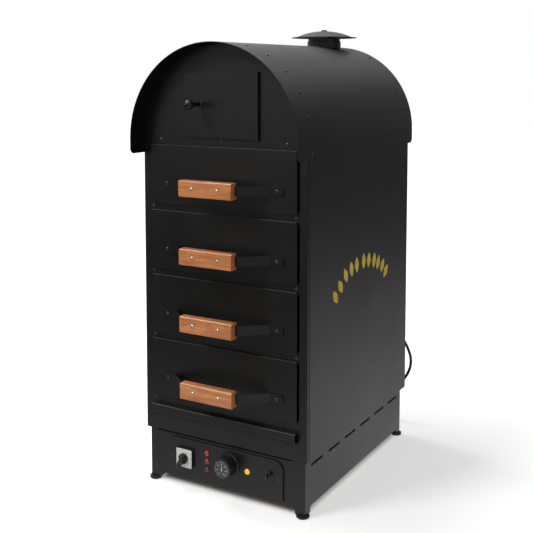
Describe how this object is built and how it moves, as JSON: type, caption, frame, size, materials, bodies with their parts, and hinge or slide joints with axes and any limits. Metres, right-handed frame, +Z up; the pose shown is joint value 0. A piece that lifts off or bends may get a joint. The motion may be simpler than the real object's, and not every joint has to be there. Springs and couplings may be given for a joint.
{
  "type": "baked potato oven",
  "caption": "Tall black steel baked potato oven with stacked wooden-grip drawers, a barrel canopy with a small gable door, a capped flue and a control panel in the plinth.",
  "frame": {"origin": "centre of the bounding box at floor level, under the feet", "axes": "+Z up, +Y from the drawer fronts towards the back, +X to the right as seen from the front"},
  "size_m": [0.4572, 0.79, 1.1251],
  "materials": {
    "black_powder_coat": "satin fine-textured black powder coat",
    "oven_steel": "dull sheet steel, heat toned",
    "element_sheath": "dark oxidised sheath",
    "insulation": "pressed mineral wool",
    "black_rubber": "matt rubber",
    "black_zinc": "black screw heads",
    "silver_plastic": "silver moulded plate",
    "black_plastic": "black moulded plastic",
    "red_lens": "red lens",
    "amber_lens": "amber lens",
    "cord_rubber": "black cable sheath",
    "varnished_wood": "varnished hardwood",
    "bright_screws": "bright domed heads",
    "dial_grey": "light grey dial"
  },
  "bodies": {
    "cabinet": {"side_panel_left": "black_powder_coat", "side_panel_right": "black_powder_coat", "rear_panel": "black_powder_coat", "face_frame": "black_powder_coat", "lower_fascia": "black_powder_coat", "crumb_ledge": "black_powder_coat", "top_deck": "black_powder_coat", "front_gable": "black_powder_coat", "rear_gable": "black_powder_coat", "canopy": "black_powder_coat", "flue_pipe": "black_powder_coat", "flue_cap": "black_powder_coat", "plinth": "black_powder_coat", "base_pan": "oven_steel", "feet": "black_rubber", "casing_screws": "black_zinc", "hinge_lugs": "black_powder_coat", "door_catch": "black_powder_coat", "oven_liner": "oven_steel", "insulation": "insulation", "drawer_runners": "oven_steel", "heating_elements": "element_sheath", "control_panel": "black_powder_coat", "switch_plate": "silver_plastic", "rotary_switch": "black_plastic", "red_lamps": "red_lens", "amber_lamp": "amber_lens", "thermostat": "element_sheath", "toggle_switch": "black_plastic", "terminal_block": "black_plastic", "cable_gland": "black_plastic", "mains_cord": "cord_rubber", "cord_coil": "cord_rubber", "mains_plug": "cord_rubber"},
    "drawer_1": {"drawer_1_front": "black_powder_coat", "drawer_1_tray": "oven_steel", "drawer_1_handle_bar": "black_powder_coat", "drawer_1_grip": "varnished_wood", "drawer_1_screws": "bright_screws"},
    "drawer_2": {"drawer_2_front": "black_powder_coat", "drawer_2_tray": "oven_steel", "drawer_2_handle_bar": "black_powder_coat", "drawer_2_grip": "varnished_wood", "drawer_2_screws": "bright_screws"},
    "drawer_3": {"drawer_3_front": "black_powder_coat", "drawer_3_tray": "oven_steel", "drawer_3_handle_bar": "black_powder_coat", "drawer_3_grip": "varnished_wood", "drawer_3_screws": "bright_screws"},
    "drawer_4": {"drawer_4_front": "black_powder_coat", "drawer_4_tray": "oven_steel", "drawer_4_handle_bar": "black_powder_coat", "drawer_4_grip": "varnished_wood", "drawer_4_screws": "bright_screws"},
    "door": {"door_panel": "black_powder_coat", "door_knob": "black_plastic"},
    "switch_knob": {"switch_knob": "black_plastic"},
    "thermostat_knob": {"thermostat_knob": "black_plastic", "thermostat_dial": "dial_grey"},
    "toggle_lever": {"toggle_lever": "black_plastic"}
  },
  "joints": [
    {"name": "drawer_1_slide", "type": "slide", "parent": "cabinet", "child": "drawer_1", "axis": [0, -1, 0], "range_m": [0, 0.4]},
    {"name": "drawer_2_slide", "type": "slide", "parent": "cabinet", "child": "drawer_2", "axis": [0, -1, 0], "range_m": [0, 0.4]},
    {"name": "drawer_3_slide", "type": "slide", "parent": "cabinet", "child": "drawer_3", "axis": [0, -1, 0], "range_m": [0, 0.4]},
    {"name": "drawer_4_slide", "type": "slide", "parent": "cabinet", "child": "drawer_4", "axis": [0, -1, 0], "range_m": [0, 0.4]},
    {"name": "door_hinge", "type": "hinge", "parent": "cabinet", "child": "door", "pos_m": [0.0984, -0.2729, 0.859], "axis": [0, 0, 1], "range_deg": [0, 110]},
    {"name": "switch_turn", "type": "hinge", "parent": "cabinet", "child": "switch_knob", "pos_m": [-0.109, -0.2665, 0.0765], "axis": [0, 1, 0], "range_deg": [0, 270]},
    {"name": "thermostat_turn", "type": "hinge", "parent": "cabinet", "child": "thermostat_knob", "pos_m": [0.017, -0.2665, 0.087], "axis": [0, 1, 0], "range_deg": [0, 270]},
    {"name": "toggle_flip", "type": "hinge", "parent": "cabinet", "child": "toggle_lever", "pos_m": [0.126, -0.2675, 0.0875], "axis": [-1, 0, 0], "range_deg": [0, 34]}
  ]
}
